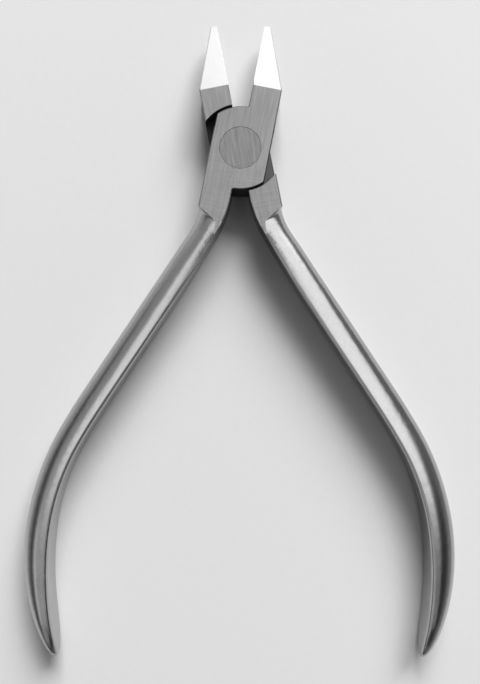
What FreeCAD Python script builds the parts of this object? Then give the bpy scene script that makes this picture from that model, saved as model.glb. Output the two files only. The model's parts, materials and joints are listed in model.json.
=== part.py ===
import FreeCAD, Part
import Sketcher
import math
import os

# Lap-joint pliers with plain flat jaws: two forged levers turning on one flush pivot pin.
#
# Each lever is drawn in its own frame as if the tool were shut: the pivot axis is Z, the jaw points
# along +Y on the +X side, the handle runs down on the -X side and the back face is Z = 0. The rear
# lever is the same forging turned half a turn about Y. The tool stands partly open at rest, each
# lever turned by half_opening from the middle line. All sizes are in millimetres and degrees.

os.makedirs("parts", exist_ok=True)
doc = FreeCAD.newDocument("flat_jaw_pliers")

DIMENSIONS = [
    # the joint
    ("thickness", 6.0, "thickness over the joint, and of the flats on both faces"),
    ("half_width", 5.7, "half the width across the joint"),
    ("neck_half_width", 5.85, "middle line to the outer side of the neck where the handle starts"),
    ("lap_radius", 8.0, "round ends of each lap plate, about the pivot"),
    ("shoulder_radius", 8.4, "round shoulders that the other lever's lap plate turns in"),
    ("lap_play", 0.03, "running gap between the two lap faces"),
    ("corner_round", 0.4, "outer corners of the lap plate"),
    ("root_round", 0.35, "inside corners where jaw and neck meet the round ends"),
    ("edge_break", 0.2, "chamfer along the outer edges of the flats"),
    ("half_opening", 10.9, "turn of each lever from the middle line at rest, degrees"),
    # the jaws
    ("jaw_length", 24.8, "pivot to jaw tip"),
    ("jaw_taper_start", 12.3, "pivot to the line where the jaw starts to taper"),
    ("jaw_tip_width", 1.25, "width of one jaw at the tip"),
    ("jaw_tip_thickness", 2.0, "thickness of the jaw at the tip"),
    ("jaw_gap", 0.01, "each jaw face from the middle line"),
    # the neck
    ("neck_gap", 0.05, "inner side of each neck from the middle line"),
    ("neck_straight", 9.4, "pivot to the end of the straight inner side of the neck"),
    ("neck_recess", 0.75, "how much narrower the inner side of the neck is than the handle"),
    ("neck_recess_length", 18.0, "handle length over which that recess runs out"),
    ("shoulder_rise", 4.8, "how far the uncut handle stands over its half thickness at the shoulder"),
    ("shoulder_drop", 0.12, "handle length over which that rise dies away"),
    ("neck_swell", 0.14, "extra half thickness of the rounded neck below the flat"),
    ("neck_swell_length", 2.6, "handle length over which that swell dies away"),
    # the handle
    ("handle_start_x", -2.54, "handle centre line where it leaves the flat"),
    ("handle_start_y", -13.92, "handle centre line where it leaves the flat"),
    ("handle_angle", 22.75, "lean of the straight part of the handle, degrees"),
    ("handle_width", 5.4, "width of the handle, side to side"),
    ("handle_height", 5.9, "thickness of the rounded handle, front to back"),
    ("handle_edge_round", 0.65, "round on both edges of the flat inner side"),
    ("neck_edge_round", 0.08, "the same round where the handle leaves the flat"),
    ("edge_round_start", 2.0, "handle length at which that round starts to grow"),
    ("edge_round_end", 20.0, "handle length at which it is full"),
    ("handle_straight", 41.65, "length of the straight part"),
    ("ease_radius", 150.0, "radius of the slow bend after the straight part"),
    ("ease_length", 9.0, "length of the slow bend"),
    ("bow_radius", 49.5, "radius of the bow down to the end"),
    ("bow_length", 45.3, "length of the bow, along the centre line"),
    ("taper_length", 25.0, "length over which the end narrows"),
    ("nose_length", 10.0, "length over which the end gets thinner"),
    # the level slab that the handle is ground to
    ("slab_width", 60.0, "slab, side to side"),
    ("slab_length", 120.0, "slab, along the tool"),
    ("slab_x", -50.0, "left side of the slab"),
    ("slab_y", -115.0, "lower end of the slab"),
    # the pivot
    ("head_radius", 4.0, "pivot pin head"),
    ("head_height", 1.6, "pivot pin head"),
    ("shank_radius", 2.5, "pivot pin shank"),
    ("pin_play", 0.03, "running gap around and under the pin in the front lever"),
    ("pin_edge", 0.04, "broken edge of the pin's two flush ends"),
]

sheet = doc.addObject("Spreadsheet::Sheet", "dims")
for row, (alias, value, note) in enumerate(DIMENSIONS, start=1):
    sheet.set("A%d" % row, note)
    sheet.set("B%d" % row, str(value))
    sheet.setAlias("B%d" % row, alias)
doc.recompute()


def size(alias):
    """The value of one cell of the sheet."""
    return float(getattr(sheet, alias))


# ---------------------------------------------------------------- sketch helpers

def origin_plane(body, role):
    for feature in body.Origin.OriginFeatures:
        if feature.Role == role:
            return feature
    raise RuntimeError("no origin plane " + role)


def new_sketch(body, name, role):
    sketch = body.newObject("Sketcher::SketchObject", name)
    sketch.AttachmentSupport = (origin_plane(body, role), [""])
    sketch.MapMode = "FlatFace"
    return sketch


def bind(sketch, constraint, expression):
    index = sketch.addConstraint(constraint)
    sketch.setExpression("Constraints[%d]" % index, expression)


def pin_x(sketch, geometry, end, value, expression):
    """Hold one end of a line or arc at a distance along X from the origin."""
    bind(sketch, Sketcher.Constraint("DistanceX", -1, 1, geometry, end, value), expression)


def pin_y(sketch, geometry, end, value, expression):
    bind(sketch, Sketcher.Constraint("DistanceY", -1, 1, geometry, end, value), expression)


def line(sketch, start, end):
    return sketch.addGeometry(Part.LineSegment(FreeCAD.Vector(*start, 0), FreeCAD.Vector(*end, 0)), False)


def arc_about_origin(sketch, radius, start_angle, end_angle, expression):
    circle = Part.Circle(FreeCAD.Vector(0, 0, 0), FreeCAD.Vector(0, 0, 1), radius)
    arc = sketch.addGeometry(Part.ArcOfCircle(circle, start_angle, end_angle), False)
    sketch.addConstraint(Sketcher.Constraint("Coincident", arc, 3, -1, 1))
    bind(sketch, Sketcher.Constraint("Radius", arc, radius), expression)
    return arc


def join(sketch, first, first_end, second, second_end):
    sketch.addConstraint(Sketcher.Constraint("Coincident", first, first_end, second, second_end))


def disc_sketch(body, name, radius, expression):
    """A circle about the pivot axis."""
    sketch = new_sketch(body, name, "XY_Plane")
    circle = Part.Circle(FreeCAD.Vector(0, 0, 0), FreeCAD.Vector(0, 0, 1), radius)
    index = sketch.addGeometry(circle, False)
    sketch.addConstraint(Sketcher.Constraint("Coincident", index, 3, -1, 1))
    bind(sketch, Sketcher.Constraint("Radius", index, radius), expression)
    return sketch


def pocket(body, name, profile, depth, upwards, floor):
    """Cut the profile from the height `floor` to `floor + depth`, and prove that it cut something."""
    before = body.Tip.Shape.Volume
    profile.AttachmentOffset = FreeCAD.Placement(FreeCAD.Vector(0, 0, 0), FreeCAD.Rotation())
    profile.setExpression("AttachmentOffset.Base.z", floor)
    feature = body.newObject("PartDesign::Pocket", name)
    feature.Profile = profile
    feature.setExpression("Length", depth)
    feature.Reversed = upwards
    doc.recompute()
    if feature.Shape.Volume > before - 0.1:
        raise RuntimeError(name + " cut nothing")
    return feature


def upright_edges(shape, places):
    """Names of the edges that run along Z at the given X, Y places."""
    names = []
    for index, edge in enumerate(shape.Edges, start=1):
        start = edge.Vertexes[0].Point
        end = edge.Vertexes[-1].Point
        upright = abs(start.x - end.x) < 0.01 and abs(start.y - end.y) < 0.01 and abs(start.z - end.z) > 1
        if upright and any(math.hypot(start.x - x, start.y - y) < 0.05 for x, y in places):
            names.append("Edge%d" % index)
    return names


def side_edges(shape, narrow, wide, thickness):
    """Names of the straight edges between a flat and the outer sides of the lever."""
    names = []
    for index, edge in enumerate(shape.Edges, start=1):
        middle = edge.valueAt((edge.FirstParameter + edge.LastParameter) / 2)
        on_side = narrow - 0.001 < abs(middle.x) < wide + 0.001
        on_flat = abs(middle.z) < 0.001 or abs(middle.z - thickness) < 0.001
        if on_side and on_flat and edge.Length > 1:
            names.append("Edge%d" % index)
    return names


# ---------------------------------------------------------------- the lever's joint, jaw and neck

LEAN = "(dims.handle_angle * 1 deg)"
NECK_INNER = "(dims.handle_width / 2 - dims.neck_recess)"
NECK_OUTER = "((dims.neck_half_width + dims.handle_start_x) / cos" + LEAN + ")"


def plate_outline(body, name):
    """Outline of the flat part of a lever, seen from the front."""
    half_width = size("half_width")
    lap = size("lap_radius")
    jaw_end = size("jaw_length")
    taper = size("jaw_taper_start")
    jaw_x = size("jaw_gap")
    neck_x = -size("neck_gap")
    lean = math.radians(size("handle_angle"))
    inner_offset = size("handle_width") / 2 - size("neck_recess")
    neck_half_width = size("neck_half_width")
    outer_offset = (neck_half_width + size("handle_start_x")) / math.cos(lean)
    neck_in = (size("handle_start_x") + inner_offset * math.cos(lean),
               size("handle_start_y") - inner_offset * math.sin(lean))
    neck_out = (-neck_half_width, size("handle_start_y") + outer_offset * math.sin(lean))
    corner_y = math.sqrt(lap ** 2 - half_width ** 2)
    corner_angle = math.atan2(corner_y, half_width)
    straight_end = (neck_x, -size("neck_straight"))

    sketch = new_sketch(body, name, "XY_Plane")
    tip = line(sketch, (jaw_x, jaw_end), (size("jaw_tip_width"), jaw_end))
    taper_side = line(sketch, (size("jaw_tip_width"), jaw_end), (half_width, taper))
    right_side = line(sketch, (half_width, taper), (half_width, -corner_y))
    lower_round = arc_about_origin(sketch, lap, -math.pi / 2, -corner_angle, "dims.lap_radius")
    neck_side = line(sketch, (neck_x, -lap), straight_end)
    bend_run = neck_x - neck_in[0]
    bend_rise = straight_end[1] - neck_in[1]
    bend_radius = (bend_run ** 2 + bend_rise ** 2) / (2 * bend_run)
    bend_centre = FreeCAD.Vector(neck_x - bend_radius, straight_end[1], 0)
    bend_end = math.atan2(neck_in[1] - bend_centre.y, neck_in[0] - bend_centre.x)
    bend_circle = Part.Circle(bend_centre, FreeCAD.Vector(0, 0, 1), bend_radius)
    neck_bend = sketch.addGeometry(Part.ArcOfCircle(bend_circle, bend_end, 0), False)
    neck_end = line(sketch, neck_in, neck_out)
    left_side = line(sketch, neck_out, (-half_width, corner_y))
    upper_round = arc_about_origin(sketch, lap, math.pi / 2, math.pi - corner_angle, "dims.lap_radius")
    jaw_face = line(sketch, (jaw_x, lap), (jaw_x, jaw_end))

    join(sketch, tip, 2, taper_side, 1)
    join(sketch, taper_side, 2, right_side, 1)
    join(sketch, right_side, 2, lower_round, 2)
    join(sketch, lower_round, 1, neck_side, 1)
    sketch.addConstraint(Sketcher.Constraint("Tangent", neck_side, 2, neck_bend, 2))
    join(sketch, neck_bend, 1, neck_end, 1)
    join(sketch, neck_end, 2, left_side, 1)
    join(sketch, left_side, 2, upper_round, 2)
    join(sketch, upper_round, 1, jaw_face, 1)
    join(sketch, jaw_face, 2, tip, 1)
    for upright in (right_side, neck_side, jaw_face):
        sketch.addConstraint(Sketcher.Constraint("Vertical", upright))
    sketch.addConstraint(Sketcher.Constraint("Horizontal", tip))

    pin_x(sketch, jaw_face, 2, jaw_x, "dims.jaw_gap")
    pin_y(sketch, jaw_face, 2, jaw_end, "dims.jaw_length")
    pin_x(sketch, tip, 2, size("jaw_tip_width"), "dims.jaw_tip_width")
    pin_x(sketch, right_side, 1, half_width, "dims.half_width")
    pin_y(sketch, right_side, 1, taper, "dims.jaw_taper_start")
    pin_x(sketch, neck_side, 2, neck_x, "-dims.neck_gap")
    pin_y(sketch, neck_side, 2, straight_end[1], "-dims.neck_straight")
    pin_x(sketch, neck_end, 1, neck_in[0], "dims.handle_start_x + " + NECK_INNER + " * cos" + LEAN)
    pin_y(sketch, neck_end, 1, neck_in[1], "dims.handle_start_y - " + NECK_INNER + " * sin" + LEAN)
    pin_x(sketch, neck_end, 2, neck_out[0], "-dims.neck_half_width")
    pin_x(sketch, left_side, 2, -half_width, "-dims.half_width")
    pin_y(sketch, neck_end, 2, neck_out[1], "dims.handle_start_y + " + NECK_OUTER + " * sin" + LEAN)
    return sketch


def jaw_bevels(body, name):
    """Side view of the two wedges that thin the jaw, front and back, towards its tip."""
    start = size("jaw_taper_start")
    end = size("jaw_length")
    thick = size("thickness")
    drop = (thick - size("jaw_tip_thickness")) / 2
    sketch = new_sketch(body, name, "YZ_Plane")
    drop_text = "(dims.thickness - dims.jaw_tip_thickness) / 2"
    faces = ((thick, thick - drop, "dims.thickness", "dims.thickness - " + drop_text),
             (0.0, drop, "0", drop_text))
    for flat, lowered, flat_text, lowered_text in faces:
        slope = line(sketch, (start, flat), (end, lowered))
        front = line(sketch, (end, lowered), (end, flat))
        top = line(sketch, (end, flat), (start, flat))
        join(sketch, slope, 2, front, 1)
        join(sketch, front, 2, top, 1)
        join(sketch, top, 2, slope, 1)
        sketch.addConstraint(Sketcher.Constraint("Vertical", front))
        sketch.addConstraint(Sketcher.Constraint("Horizontal", top))
        pin_x(sketch, slope, 1, start, "dims.jaw_taper_start")
        pin_x(sketch, slope, 2, end, "dims.jaw_length")
        pin_y(sketch, slope, 2, lowered, lowered_text)
        if flat:
            pin_y(sketch, slope, 1, flat, flat_text)
        else:
            sketch.addConstraint(Sketcher.Constraint("PointOnObject", slope, 1, -1))
    return sketch


def make_plate(name):
    """Jaw, lap plate and neck of one lever, with the pin's shank bore still to come."""
    thick = size("thickness")
    body = doc.addObject("PartDesign::Body", name)

    pad = body.newObject("PartDesign::Pad", name + "_blank")
    pad.Profile = plate_outline(body, name + "_outline")
    pad.setExpression("Length", "dims.thickness")
    doc.recompute()

    lap = size("lap_radius")
    roots = upright_edges(pad.Shape, [(size("jaw_gap"), lap), (-size("neck_gap"), -lap)])
    root = body.newObject("PartDesign::Fillet", name + "_roots")
    root.Base = (pad, roots)
    root.setExpression("Radius", "dims.root_round")
    doc.recompute()

    corner_y = math.sqrt(lap ** 2 - size("half_width") ** 2)
    corner_places = [(size("half_width"), -corner_y), (-size("half_width"), corner_y)]
    corners = body.newObject("PartDesign::Fillet", name + "_corners")
    corners.Base = (root, upright_edges(root.Shape, corner_places))
    corners.setExpression("Radius", "dims.corner_round")
    doc.recompute()

    recess = disc_sketch(body, name + "_lap_circle", size("shoulder_radius"), "dims.shoulder_radius")
    pocket(body, name + "_lap", recess, "dims.thickness / 2 + dims.lap_play / 2", True, "0")

    before = body.Tip.Shape.Volume
    bevels = body.newObject("PartDesign::Pocket", name + "_bevels")
    bevels.Profile = jaw_bevels(body, name + "_bevel_profile")
    bevels.Midplane = True
    bevels.setExpression("Length", "4 * dims.half_width")
    doc.recompute()
    if bevels.Shape.Volume > before - 10:
        raise RuntimeError("the jaw bevels cut too little")

    edges = body.newObject("PartDesign::Chamfer", name + "_edges")
    edges.Base = (bevels, side_edges(bevels.Shape, size("half_width"), size("neck_half_width"), thick))
    edges.setExpression("Size", "dims.edge_break")
    doc.recompute()
    return body


# ---------------------------------------------------------------- the handle

def centre_line(along):
    """Point and lean (radians from -Y) of the handle's centre line at a length from its start."""
    lean = math.radians(size("handle_angle"))
    x = size("handle_start_x")
    y = size("handle_start_y")
    straight = min(along, size("handle_straight"))
    x -= straight * math.sin(lean)
    y -= straight * math.cos(lean)
    left = along - straight
    for radius, length in ((size("ease_radius"), size("ease_length")), (size("bow_radius"), math.inf)):
        turn = min(left, length) / radius
        x += radius * (math.cos(lean) - math.cos(lean - turn))
        y -= radius * (math.sin(lean) - math.sin(lean - turn))
        lean -= turn
        left -= turn * radius
    return x, y, lean


# The end of the handle closes just past its last section, so that the section keeps some size.
PAST_END = 1.01
# Where the handle is small, its edges are rounded by no more than these shares of it.
ROUND_OF_HEIGHT = 0.4
ROUND_OF_WIDTH = 0.3


def run_out(along, whole, length):
    """Quarter-ellipse law: 1 until `length` before the end, falling to 0 just past the end."""
    past = max(0.0, along - (whole - length)) / (length * PAST_END)
    return math.sqrt(1 - past ** 2)


def edge_round(along):
    """The round on the edges of the inner side grows along the handle, by a smooth step."""
    start = size("edge_round_start")
    share = min(1.0, max(0.0, (along - start) / (size("edge_round_end") - start)))
    grown = share ** 2 * (3 - 2 * share)
    return size("neck_edge_round") + (size("handle_edge_round") - size("neck_edge_round")) * grown


def handle_section(along, whole):
    """D-shaped outline across the handle: flat inner side, round outer side."""
    x, y, lean = centre_line(along)
    outward = FreeCAD.Vector(-math.cos(lean), math.sin(lean), 0)
    up = FreeCAD.Vector(0, 0, 1)
    width = size("handle_width") * run_out(along, whole, size("taper_length"))

    recess_left = max(0.0, 1 - along / size("neck_recess_length"))
    inner = width / 2 - size("neck_recess") * recess_left ** 2
    start_lean = math.radians(size("handle_angle"))
    neck_outer = (size("neck_half_width") + size("handle_start_x")) / math.cos(start_lean)
    flare = neck_outer - size("handle_width") / 2
    flare_length = 2 * flare / math.tan(start_lean)
    outer = width / 2 + flare * max(0.0, 1 - along / flare_length) ** 2

    flat_half = size("thickness") / 2
    half = size("handle_height") / 2 * run_out(along, whole, size("nose_length"))
    half += size("neck_swell") * math.exp(-along / size("neck_swell_length"))
    half += size("shoulder_rise") * math.exp(-along / size("shoulder_drop"))
    radius = min(edge_round(along), ROUND_OF_HEIGHT * half, ROUND_OF_WIDTH * (inner + outer))

    foot = FreeCAD.Vector(x, y, flat_half) - outward * inner

    def place(across, height):
        return foot + outward * across + up * height

    def quarter(start, corner, end):
        curve = Part.BSplineCurve()
        weights = [1, math.sqrt(0.5), 1]
        curve.buildFromPolesMultsKnots([start, corner, end], [3, 3], [0, 1], False, 2, weights)
        return curve.toShape()

    span = inner + outer
    edges = [
        Part.makeLine(place(0, radius - half), place(0, half - radius)),
        quarter(place(0, half - radius), place(0, half), place(radius, half)),
        quarter(place(radius, half), place(span, half), place(span, 0)),
        quarter(place(span, 0), place(span, -half), place(radius, -half)),
        quarter(place(radius, -half), place(0, -half), place(0, radius - half)),
    ]
    return Part.Wire(edges)


def make_handle(name):
    """The rounded handle, lofted through sections that are close where its shape changes fast."""
    whole = size("handle_straight") + size("ease_length") + size("bow_length")
    shoulder = size("shoulder_drop")
    stations = [shoulder * step for step in (0, 0.5, 1, 1.5, 2, 3, 4, 6, 9, 14, 20)]
    middle_start = stations[-1]
    nose_start = whole - size("nose_length")
    steps = 18
    for step in range(1, steps + 1):
        stations.append(middle_start + (nose_start - middle_start) * step / steps)
    nose_steps = 8
    for step in range(1, nose_steps + 1):
        stations.append(nose_start + size("nose_length") * math.sin(math.pi / 2 * step / nose_steps))
    handle = doc.addObject("Part::Feature", name)
    handle.Shape = Part.makeLoft([handle_section(along, whole) for along in stations], True, False)
    return handle


# ---------------------------------------------------------------- whole levers and the pin

def make_lever(name, plate):
    """Join a finished plate to a handle whose front and back are ground level with the flats."""
    slab = doc.addObject("Part::Box", name + "_slab")
    slab.setExpression("Length", "dims.slab_width")
    slab.setExpression("Width", "dims.slab_length")
    slab.setExpression("Height", "dims.thickness")
    slab.setExpression("Placement.Base.x", "dims.slab_x")
    slab.setExpression("Placement.Base.y", "dims.slab_y")
    ground = doc.addObject("Part::Common", name + "_ground_handle")
    ground.Base = make_handle(name + "_handle")
    ground.Tool = slab
    lever = doc.addObject("Part::Fuse", name)
    lever.Base = plate
    lever.Tool = ground
    lever.Refine = True
    lever.Label = name
    doc.recompute()
    return lever


def make_front_lever():
    plate = make_plate("front_plate")
    shank = disc_sketch(plate, "front_shank_circle", size("shank_radius") + size("pin_play"),
                        "dims.shank_radius + dims.pin_play")
    pocket(plate, "front_shank_bore", shank, "dims.thickness", True, "0")
    head = disc_sketch(plate, "front_head_circle", size("head_radius") + size("pin_play"),
                       "dims.head_radius + dims.pin_play")
    pocket(plate, "front_head_seat", head, "dims.head_height + dims.pin_play", False, "dims.thickness")
    lever = make_lever("front_half", plate)
    turn = FreeCAD.Rotation(FreeCAD.Vector(0, 0, 1), -size("half_opening"))
    lever.Placement = FreeCAD.Placement(FreeCAD.Vector(0, 0, 0), turn)
    return lever


def make_rear_lever():
    plate = make_plate("rear_plate")
    shank = disc_sketch(plate, "rear_shank_circle", size("shank_radius"), "dims.shank_radius")
    pocket(plate, "rear_shank_bore", shank, "dims.thickness", True, "0")
    lever = make_lever("rear_half", plate)
    turn = FreeCAD.Rotation(FreeCAD.Vector(0, 0, 1), size("half_opening"))
    flip = FreeCAD.Rotation(FreeCAD.Vector(0, 1, 0), 180)
    lever.Placement = FreeCAD.Placement(FreeCAD.Vector(0, 0, size("thickness")), turn.multiply(flip))
    return lever


def make_pin():
    """Headed pin: the head lies flush in the front lever, the shank is fast in the rear lever."""
    body = doc.addObject("PartDesign::Body", "pivot_pin_body")
    body.Label = "pivot_pin"
    thick = size("thickness")
    neck = thick - size("head_height")
    head = size("head_radius")
    shank = size("shank_radius")
    sketch = new_sketch(body, "pin_profile", "XZ_Plane")
    bottom = line(sketch, (0, 0), (shank, 0))
    shank_side = line(sketch, (shank, 0), (shank, neck))
    under_head = line(sketch, (shank, neck), (head, neck))
    head_side = line(sketch, (head, neck), (head, thick))
    top = line(sketch, (head, thick), (0, thick))
    axis = line(sketch, (0, thick), (0, 0))
    chain = (bottom, shank_side, under_head, head_side, top, axis)
    for first, second in zip(chain, chain[1:] + chain[:1]):
        join(sketch, first, 2, second, 1)
    for level in (bottom, under_head, top):
        sketch.addConstraint(Sketcher.Constraint("Horizontal", level))
    for upright in (shank_side, head_side, axis):
        sketch.addConstraint(Sketcher.Constraint("Vertical", upright))
    join(sketch, bottom, 1, -1, 1)
    pin_x(sketch, bottom, 2, shank, "dims.shank_radius")
    pin_x(sketch, under_head, 2, head, "dims.head_radius")
    pin_y(sketch, under_head, 1, neck, "dims.thickness - dims.head_height")
    pin_y(sketch, top, 1, thick, "dims.thickness")
    turned = body.newObject("PartDesign::Revolution", "pin_turned")
    turned.Profile = sketch
    turned.ReferenceAxis = (sketch, ["V_Axis"])
    turned.Angle = 360
    doc.recompute()

    rims = []
    for index, edge in enumerate(turned.Shape.Edges, start=1):
        box = edge.BoundBox
        level = box.ZLength < 0.001
        if level and box.XLength > 1 and (abs(box.ZMin) < 0.001 or abs(box.ZMin - thick) < 0.001):
            rims.append("Edge%d" % index)
    broken = body.newObject("PartDesign::Chamfer", "pin_edges")
    broken.Base = (turned, rims)
    broken.setExpression("Size", "dims.pin_edge")
    doc.recompute()
    return body


parts = [make_front_lever(), make_rear_lever(), make_pin()]
doc.recompute()

for item in doc.Objects:
    if "Invalid" in item.State or "Error" in item.State:
        raise RuntimeError("%s is %s" % (item.Label, item.State))
for item in parts:
    if item.Shape.isNull() or not item.Shape.isValid():
        raise RuntimeError(item.Label + " has no valid shape")
    if len(item.Shape.Solids) != 1:
        raise RuntimeError("%s has %d solids" % (item.Label, len(item.Shape.Solids)))
for item in parts:
    item.Shape.exportStep("parts/%s.step" % item.Label)
    box = item.Shape.BoundBox
    print("%-12s %d solid  volume %.1f  x %.2f..%.2f  y %.2f..%.2f  z %.3f..%.3f" % (
        item.Label, len(item.Shape.Solids), item.Shape.Volume,
        box.XMin, box.XMax, box.YMin, box.YMax, box.ZMin, box.ZMax))
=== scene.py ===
import json
import math

import bpy
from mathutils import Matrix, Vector


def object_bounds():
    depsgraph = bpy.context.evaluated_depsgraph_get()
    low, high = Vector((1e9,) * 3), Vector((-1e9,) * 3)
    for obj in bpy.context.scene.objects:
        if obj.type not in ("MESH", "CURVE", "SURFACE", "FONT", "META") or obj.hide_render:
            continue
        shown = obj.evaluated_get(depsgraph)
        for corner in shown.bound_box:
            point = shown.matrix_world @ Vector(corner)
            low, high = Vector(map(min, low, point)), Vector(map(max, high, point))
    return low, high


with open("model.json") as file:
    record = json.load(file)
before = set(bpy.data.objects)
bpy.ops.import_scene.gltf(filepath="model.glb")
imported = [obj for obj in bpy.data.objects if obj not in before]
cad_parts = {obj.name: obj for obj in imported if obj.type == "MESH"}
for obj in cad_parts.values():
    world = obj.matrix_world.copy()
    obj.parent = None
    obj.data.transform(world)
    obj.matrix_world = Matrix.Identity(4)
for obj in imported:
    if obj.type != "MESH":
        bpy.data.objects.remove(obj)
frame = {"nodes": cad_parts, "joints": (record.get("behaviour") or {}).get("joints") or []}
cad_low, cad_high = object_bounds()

# Stainless lap-joint pliers on a pale table, under a soft ceiling light. Lengths inside the
# materials are in millimetres, in each lever's own frame: the tool shut, pivot at the origin,
# jaw along +Y on the +X side, handle down the -X side.

MM = 0.001
scene = bpy.context.scene
nodes = frame["nodes"]
pivot = frame["joints"][0]
HALF_OPENING = math.radians(pivot["range_deg"][1] / 2)
THICKNESS = (cad_high.z - cad_low.z) / MM

# Sizes of one lever, in its own frame. They are the ones in part.py's sheet and change with them.
HALF_WIDTH = 5.7
TAPER_START = 12.3  # Y where the jaw starts to taper
TAPER_SLOPE = 0.356  # how fast the jaw's outer side comes in
HANDLE_X = -2.54  # where the handle's centre line leaves the flat
HANDLE_Y = -13.92
HANDLE_LEAN = math.radians(22.75)
SHOULDER_RADIUS = 8.4

# Grey levels, linear, before the light.
GROUND_GREY = 0.59
PIN_GREY = 0.53
FORGED_GREY = 0.46
# painted shade greys: the edge line, the line where the flat breaks off, between the necks, inside the joint
RIM_SHADE_GREY = 0.16
CREASE_SHADE_GREY = 0.10
CROTCH_SHADE_GREY = 0.07
JOINT_SHADE_GREY = 0.07
TABLE_GREY = 0.82


# ---------------------------------------------------------------- building node trees

class Graph:
    """Short calls for filling one node tree."""

    def __init__(self, tree):
        self.tree = tree

    def node(self, kind, **settings):
        made = self.tree.nodes.new(kind)
        for name, value in settings.items():
            setattr(made, name, value)
        return made

    def feed(self, socket, value):
        if isinstance(value, bpy.types.NodeSocket):
            self.tree.links.new(value, socket)
        else:
            socket.default_value = value

    def maths(self, operation, *values, clamp=False):
        made = self.node("ShaderNodeMath", operation=operation, use_clamp=clamp)
        for socket, value in zip(made.inputs, values):
            self.feed(socket, value)
        return made.outputs[0]

    def vector(self, operation, *values):
        made = self.node("ShaderNodeVectorMath", operation=operation)
        for socket, value in zip(made.inputs, values):
            self.feed(socket, value)
        return made.outputs["Value" if operation in ("DOT_PRODUCT", "LENGTH") else "Vector"]

    def split(self, vector):
        made = self.node("ShaderNodeSeparateXYZ")
        self.feed(made.inputs[0], vector)
        return made.outputs

    def turn(self, vector, angle):
        """The vector turned about Z."""
        made = self.node("ShaderNodeVectorRotate", rotation_type="Z_AXIS")
        self.feed(made.inputs["Vector"], vector)
        self.feed(made.inputs["Angle"], angle)
        return made.outputs[0]

    def ease(self, value, low, high, at_low=0.0, at_high=1.0):
        """Smooth step between two values, in either direction."""
        made = self.node("ShaderNodeMapRange", interpolation_type="SMOOTHSTEP")
        for name, number in (("Value", value), ("From Min", low), ("From Max", high),
                             ("To Min", at_low), ("To Max", at_high)):
            self.feed(made.inputs[name], number)
        return made.outputs[0]

    def blend(self, share, first, second):
        made = self.node("ShaderNodeMix", data_type="FLOAT")
        for socket, value in zip(made.inputs[:4], (share, None, first, second)):
            if value is not None:
                self.feed(socket, value)
        return made.outputs[0]

    def noise(self, vector, scale, detail=2.0, roughness=0.5):
        made = self.node("ShaderNodeTexNoise")
        for name, number in (("Vector", vector), ("Scale", scale), ("Detail", detail),
                             ("Roughness", roughness)):
            self.feed(made.inputs[name], number)
        return made.outputs[0]

    def about_middle(self, value, reach):
        """Noise, 0 to 1, as a signed amount up to about reach."""
        return self.maths("MULTIPLY", self.maths("SUBTRACT", value, 0.5), 2 * reach)

    def total(self, *values):
        result = values[0]
        for value in values[1:]:
            result = self.maths("ADD", result, value)
        return result

    def product(self, *values):
        result = values[0]
        for value in values[1:]:
            result = self.maths("MULTIPLY", result, value)
        return result


def new_material(name):
    material = bpy.data.materials.new(name)
    material.use_nodes = True
    graph = Graph(material.node_tree)
    return material, graph, material.node_tree.nodes["Principled BSDF"]


def grey(graph, value):
    made = graph.node("ShaderNodeCombineColor")
    for socket in made.inputs:
        graph.feed(socket, value)
    return made.outputs[0]


# ---------------------------------------------------------------- steel

def own_frame(graph, turn, mirrored):
    """Position in the lever's own frame, in millimetres, and the surface normal."""
    where = graph.node("ShaderNodeTexCoord")
    turned = graph.turn(where.outputs["Object"], turn)
    side = -1 if mirrored else 1
    return graph.vector("MULTIPLY", turned, (side / MM, 1 / MM, 1 / MM)), where.outputs["Normal"]


def streaks(graph, place, across, along, scale):
    """Fine lines: noise drawn out along one direction."""
    drawn_out = graph.vector("MULTIPLY", place, (across, along, 1.0))
    return graph.noise(drawn_out, scale, 3.0, 0.6)


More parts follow.
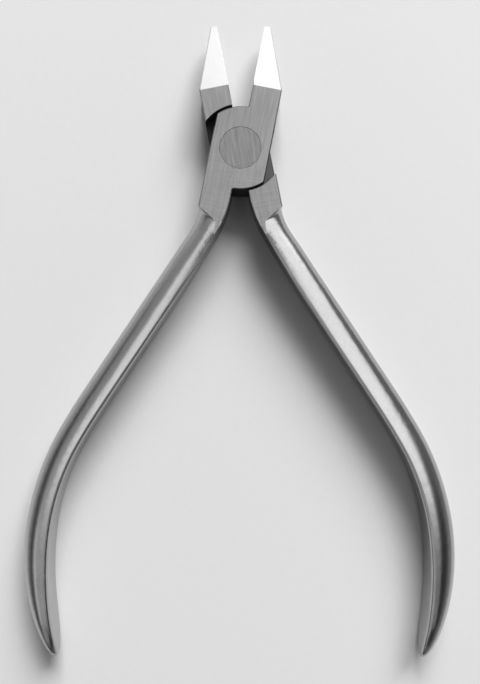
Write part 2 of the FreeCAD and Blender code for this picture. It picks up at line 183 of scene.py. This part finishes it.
def steel(name, turn, mirrored, is_pin=False):
    material, graph, shader = new_material(name)
    place, normal = own_frame(graph, turn, mirrored)
    x, y, z = graph.split(place)
    steep = graph.maths("ABSOLUTE", graph.split(normal)[2])
    from_middle = graph.maths("ABSOLUTE", graph.maths("SUBTRACT", z, THICKNESS / 2))

    level = graph.ease(from_middle, THICKNESS / 2 - 0.006, THICKNESS / 2 - 0.003)
    ground = graph.product(level, graph.ease(steep, 0.99, 0.995))
    bevel = graph.product(graph.ease(y, TAPER_START - 0.1, TAPER_START), graph.ease(steep, 0.96, 0.98),
                          graph.ease(x, 0.0, 0.02))
    worked = graph.maths("MAXIMUM", ground, bevel) if not is_pin else ground

    # painted shade: a dark line along the broken outer edges and the neck side, and darkening on the faces
    # inside the joint
    tapered = graph.product(graph.maths("MAXIMUM", graph.total(y, -TAPER_START), 0.0), TAPER_SLOPE)
    outer_side = graph.ease(graph.total(x, tapered), HALF_WIDTH - 0.24, HALF_WIDTH - 0.14)
    neck_side = graph.product(graph.ease(graph.product(x, -1.0), HALF_WIDTH - 0.2, HALF_WIDTH - 0.12),
                              graph.ease(y, -12.7, -12.4))
    rim_shade = graph.maths("MAXIMUM", outer_side, neck_side)
    radius = graph.maths("SQRT", graph.total(graph.product(x, x), graph.product(y, y)))
    # painted shade on the recessed faces inside the joint
    joint = graph.product(graph.ease(radius, SHOULDER_RADIUS + 0.1, SHOULDER_RADIUS + 0.02),
                          graph.ease(from_middle, THICKNESS / 2 - 0.03, THICKNESS / 2 - 0.1),
                          graph.ease(x, -2.0, -3.5, 1.0, 0.45))

    # painted shade between the necks, on the inner walls
    below = graph.maths("MINIMUM", graph.total(y, -HANDLE_Y), 0.0)
    inward = graph.total(x, -HANDLE_X, graph.product(below, -math.tan(HANDLE_LEAN)))
    crotch_shade = graph.product(graph.ease(steep, 0.6, 0.25), graph.ease(inward, 0.9, 1.2),
                           graph.ease(y, -30.0, -16.0), graph.ease(y, -7.0, -8.0))

    # painted shade: a dark line where the ground flat breaks off to the rounded handle
    along = graph.total(graph.product(graph.total(x, -HANDLE_X), -math.sin(HANDLE_LEAN)),
                        graph.product(graph.total(y, -HANDLE_Y), -math.cos(HANDLE_LEAN)))
    crease_shade = graph.product(graph.ease(along, -0.05, 0.05), graph.ease(along, 0.55, 0.3),
                           graph.ease(level, 1.0, 0.5), graph.ease(from_middle, 2.2, 2.5))

    # wear: the sharp edges are rubbed bright
    soft_normal = graph.node("ShaderNodeBevel", samples=4)
    graph.feed(soft_normal.inputs["Radius"], 0.25 * MM)
    true_normal = graph.node("ShaderNodeNewGeometry").outputs["Normal"]
    alike = graph.vector("DOT_PRODUCT", soft_normal.outputs[0], true_normal)
    sharp = graph.ease(alike, 0.985, 0.85)
    patches = graph.ease(graph.noise(place, 1.1, 3.0), 0.35, 0.6)
    rubbed = graph.product(sharp, patches)

    long_lines = streaks(graph, place, 1.0, 0.045, 4.2 if is_pin else 2.8)
    fine_lines = streaks(graph, place, 1.0, 0.03, 6.0)
    cross_lines = streaks(graph, place, 0.05, 1.0, 3.2)
    cross_share = graph.ease(y, 1.0, -5.0, 0.0, 0.8)
    lines = graph.total(graph.about_middle(long_lines, 0.6), graph.about_middle(fine_lines, 0.5),
                        graph.product(graph.about_middle(cross_lines, 0.5), cross_share))
    clouds = graph.about_middle(graph.noise(place, 0.22, 3.0), 1.0)
    grain = graph.about_middle(graph.noise(place, 4.5, 4.0, 0.7), 1.0)

    line_depth = 0.38 if is_pin else graph.ease(bevel, 0.0, 1.0, 0.28, 0.08)
    worked_value = graph.total(PIN_GREY if is_pin else GROUND_GREY, graph.product(lines, line_depth),
                               graph.product(clouds, 0.03))
    # painted light: the front lever's ground face only is painted up to 0.10 lighter from Y 9 down to -3,
    # for how the light falls on it
    if not (mirrored or is_pin):
        worked_value = graph.total(worked_value, graph.ease(y, 9.0, -3.0, 0.0, 0.10))
    forged_value = graph.total(FORGED_GREY, graph.product(grain, 0.12), graph.product(clouds, 0.04))
    value = graph.blend(worked, forged_value, worked_value)
    value = graph.total(value, graph.product(rubbed, 0.10))
    # painted shade: the dark edge line, the line where the flat meets the handle, and the walls between the
    # necks
    for mark, share, mark_grey in ((rim_shade, 0.6, RIM_SHADE_GREY), (crease_shade, 0.85, CREASE_SHADE_GREY),
                                   (crotch_shade, 0.85, CROTCH_SHADE_GREY)):
        value = graph.blend(graph.product(mark, share), value, mark_grey)
    # painted shade: the faces inside the joint are painted dark
    value = graph.blend(joint, value, JOINT_SHADE_GREY)
    graph.feed(shader.inputs["Base Color"], grey(graph, value))

    worked_rough = graph.total(0.36, graph.product(lines, 0.05))
    forged_rough = graph.total(0.18, graph.product(grain, 0.05), graph.product(clouds, 0.02))
    rough = graph.blend(worked, forged_rough, worked_rough)
    rough = graph.blend(graph.product(rubbed, 0.5), rough, 0.15)
    graph.feed(shader.inputs["Roughness"], graph.blend(joint, rough, 0.6))
    graph.feed(shader.inputs["Metallic"], 1.0)
    graph.feed(shader.inputs["Anisotropic"], graph.product(worked, 0.8))

    # the sheen of a ground face spreads across its lines
    across = Vector((math.cos(-turn), math.sin(-turn), 0))
    to_world = graph.node("ShaderNodeVectorTransform", vector_type="VECTOR", convert_from="OBJECT",
                          convert_to="WORLD")
    to_world.inputs[0].default_value = across
    graph.feed(shader.inputs["Tangent"], to_world.outputs[0])

    height = graph.blend(worked, graph.product(grain, 0.6), lines)
    bump = graph.node("ShaderNodeBump")
    graph.feed(bump.inputs["Strength"], 0.25)
    graph.feed(bump.inputs["Distance"], 0.02 * MM)
    graph.feed(bump.inputs["Height"], height)
    graph.feed(shader.inputs["Normal"], bump.outputs[0])
    return material


def dress(name, material):
    for slot in nodes[name].material_slots:
        slot.material = material


dress("front_half", steel("front_steel_look", HALF_OPENING, False))
dress("rear_half", steel("rear_steel_look", -HALF_OPENING, True))
dress("pivot_pin", steel("pin_steel_look", -HALF_OPENING, True, is_pin=True))


# ---------------------------------------------------------------- the table

def make_floor():
    reach = 3.0
    mesh = bpy.data.meshes.new("floor")
    corners = [(-reach, -reach, 0), (reach, -reach, 0), (reach, reach, 0), (-reach, reach, 0)]
    mesh.from_pydata(corners, [], [(0, 1, 2, 3)])
    floor = bpy.data.objects.new("floor", mesh)
    floor.location.z = cad_low.z - 0.05 * MM
    scene.collection.objects.link(floor)
    material, graph, shader = new_material("table_top")
    where = graph.node("ShaderNodeTexCoord")
    place = graph.vector("MULTIPLY", where.outputs["Object"], (1 / MM, 1 / MM, 1 / MM))
    fibre = graph.about_middle(graph.noise(place, 0.9, 4.0, 0.7), 1.0)
    graph.feed(shader.inputs["Base Color"], grey(graph, graph.total(TABLE_GREY, graph.product(fibre, 0.02))))
    graph.feed(shader.inputs["Roughness"], 0.7)
    floor.data.materials.append(material)


make_floor()


# ---------------------------------------------------------------- the light

TABLE_SHARE = 0.25  # the share of the room's light in diffuse shading, which the soft box adds to
BACKDROP = 0.80  # the room as the camera sees it past the table


def room_light():
    """A wide soft ceiling panel, brightest to the upper right, over darker walls.

    Places in the room are degrees from straight up: side towards the picture's right, and up
    towards its top.
    """
    world = bpy.data.worlds.new("room")
    scene.world = world
    world.use_nodes = True
    graph = Graph(world.node_tree)
    background = world.node_tree.nodes["Background"]
    toward = graph.split(graph.node("ShaderNodeTexCoord").outputs["Generated"])
    flat = graph.maths("SQRT", graph.total(graph.product(toward[0], toward[0]),
                                           graph.product(toward[1], toward[1]), 1e-9))
    height = graph.maths("MINIMUM", graph.maths("ABSOLUTE", toward[2]), 0.99999)
    lean = graph.product(graph.maths("ARCCOSINE", height), math.degrees(1))
    stretch = graph.maths("DIVIDE", lean, flat)
    side = graph.product(toward[0], stretch)
    up = graph.product(toward[1], stretch)

    def window(low_x, high_x, low_y, high_y, soft):
        return graph.product(
            graph.ease(side, low_x - soft, low_x + soft), graph.ease(side, high_x + soft, high_x - soft),
            graph.ease(up, low_y - soft, low_y + soft), graph.ease(up, high_y + soft, high_y - soft))

    on_right = graph.ease(side, -20, 20)
    tilted = graph.total(lean, graph.product(up, 0.25))
    left_wall = graph.ease(tilted, 60, 86, 0.09, 0.55)
    low_right = graph.ease(lean, 52, 90, 0.03, 0.38)
    high_right = graph.ease(lean, 80, 92, 0.18, 0.5)
    right_wall = graph.blend(graph.ease(up, -18, 8), low_right, high_right)
    light = graph.blend(on_right, left_wall, right_wall)

    cove = graph.product(window(-49, -24, -60, 60, 6), 0.30)
    lamp = graph.product(window(-50, -44, -42, -14, 3), 0.6)
    light = graph.total(light, cove)
    back_ceiling = window(-46, 34, -38, 0, 3)
    light = graph.blend(back_ceiling, light, graph.ease(side, -40, 30, 0.52, 0.30))
    light = graph.total(light, lamp)

    panel_left = graph.total(-25.5, graph.product(graph.total(up, -15), 0.17))
    panel_right = graph.total(42, graph.product(graph.maths("MINIMUM", up, 22), 0.4))
    panel = graph.product(
        graph.ease(graph.maths("SUBTRACT", side, panel_left), -3, 3),
        graph.ease(graph.maths("SUBTRACT", panel_right, side), -5, 5),
        graph.ease(up, -20, -8), graph.ease(up, 76, 70))
    panel_value = graph.ease(side, -26, 26, 1.3, 1.62)
    panel_value = graph.product(panel_value, graph.ease(up, 32, 40, 1.0, 1.5))
    light = graph.blend(panel, light, panel_value)
    path = graph.node("ShaderNodeLightPath").outputs
    light = graph.product(light, graph.blend(path["Is Diffuse Ray"], 1.0, TABLE_SHARE))
    light = graph.blend(path["Is Camera Ray"], light, BACKDROP)
    graph.feed(background.inputs["Color"], grey(graph, 1.0))
    graph.feed(background.inputs["Strength"], light)


room_light()


def make_flag(low, high, height):
    """A dark card just above the camera for the steel to reflect, unseen and casting no shadow."""
    mesh = bpy.data.meshes.new("flag")
    corners = [(low[0], low[1], 0), (high[0], low[1], 0), (high[0], high[1], 0), (low[0], high[1], 0)]
    mesh.from_pydata(corners, [], [(0, 1, 2, 3)])
    flag = bpy.data.objects.new("flag", mesh)
    flag.location.z = height
    flag.visible_camera = False
    flag.visible_shadow = False
    scene.collection.objects.link(flag)
    material, graph, shader = new_material("flag_cloth")
    graph.feed(shader.inputs["Base Color"], grey(graph, 0.02))
    graph.feed(shader.inputs["Roughness"], 0.9)
    flag.data.materials.append(material)


make_flag(low=(-0.036, -0.055), high=(0.036, 0.092), height=0.12)


def make_key(azimuth, elevation, distance, width, tall, power):
    """A soft box for the table and its shadows; the steel shows only the room."""
    data = bpy.data.lights.new("soft_box", "AREA")
    data.shape = "RECTANGLE"
    data.size = width
    data.size_y = tall
    data.energy = power
    box = bpy.data.objects.new("soft_box", data)
    scene.collection.objects.link(box)
    reach = distance * math.cos(elevation)
    box.location = (reach * math.cos(azimuth), reach * math.sin(azimuth), distance * math.sin(elevation))
    box.rotation_mode = "QUATERNION"
    box.rotation_quaternion = Vector(box.location).to_track_quat("Z", "Y")
    box.visible_glossy = False


make_key(azimuth=math.radians(74), elevation=math.radians(26), distance=2.6, width=1.9, tall=1.15,
         power=129.0)
scene.view_settings.view_transform = "Standard"


# ---------------------------------------------------------------- the camera, straight overhead

CAMERA_PLACE = (0, -0.03733, 0.113)
CAMERA_ROLL = math.radians(0.15)
FOCAL_LENGTH = 29.35  # millimetres

camera_data = bpy.data.cameras.new("camera")
camera = bpy.data.objects.new("camera", camera_data)
scene.collection.objects.link(camera)
camera_data.lens = FOCAL_LENGTH
camera_data.clip_start = 0.005
camera.location = CAMERA_PLACE
camera.rotation_euler = (0, 0, CAMERA_ROLL)
scene.camera = camera
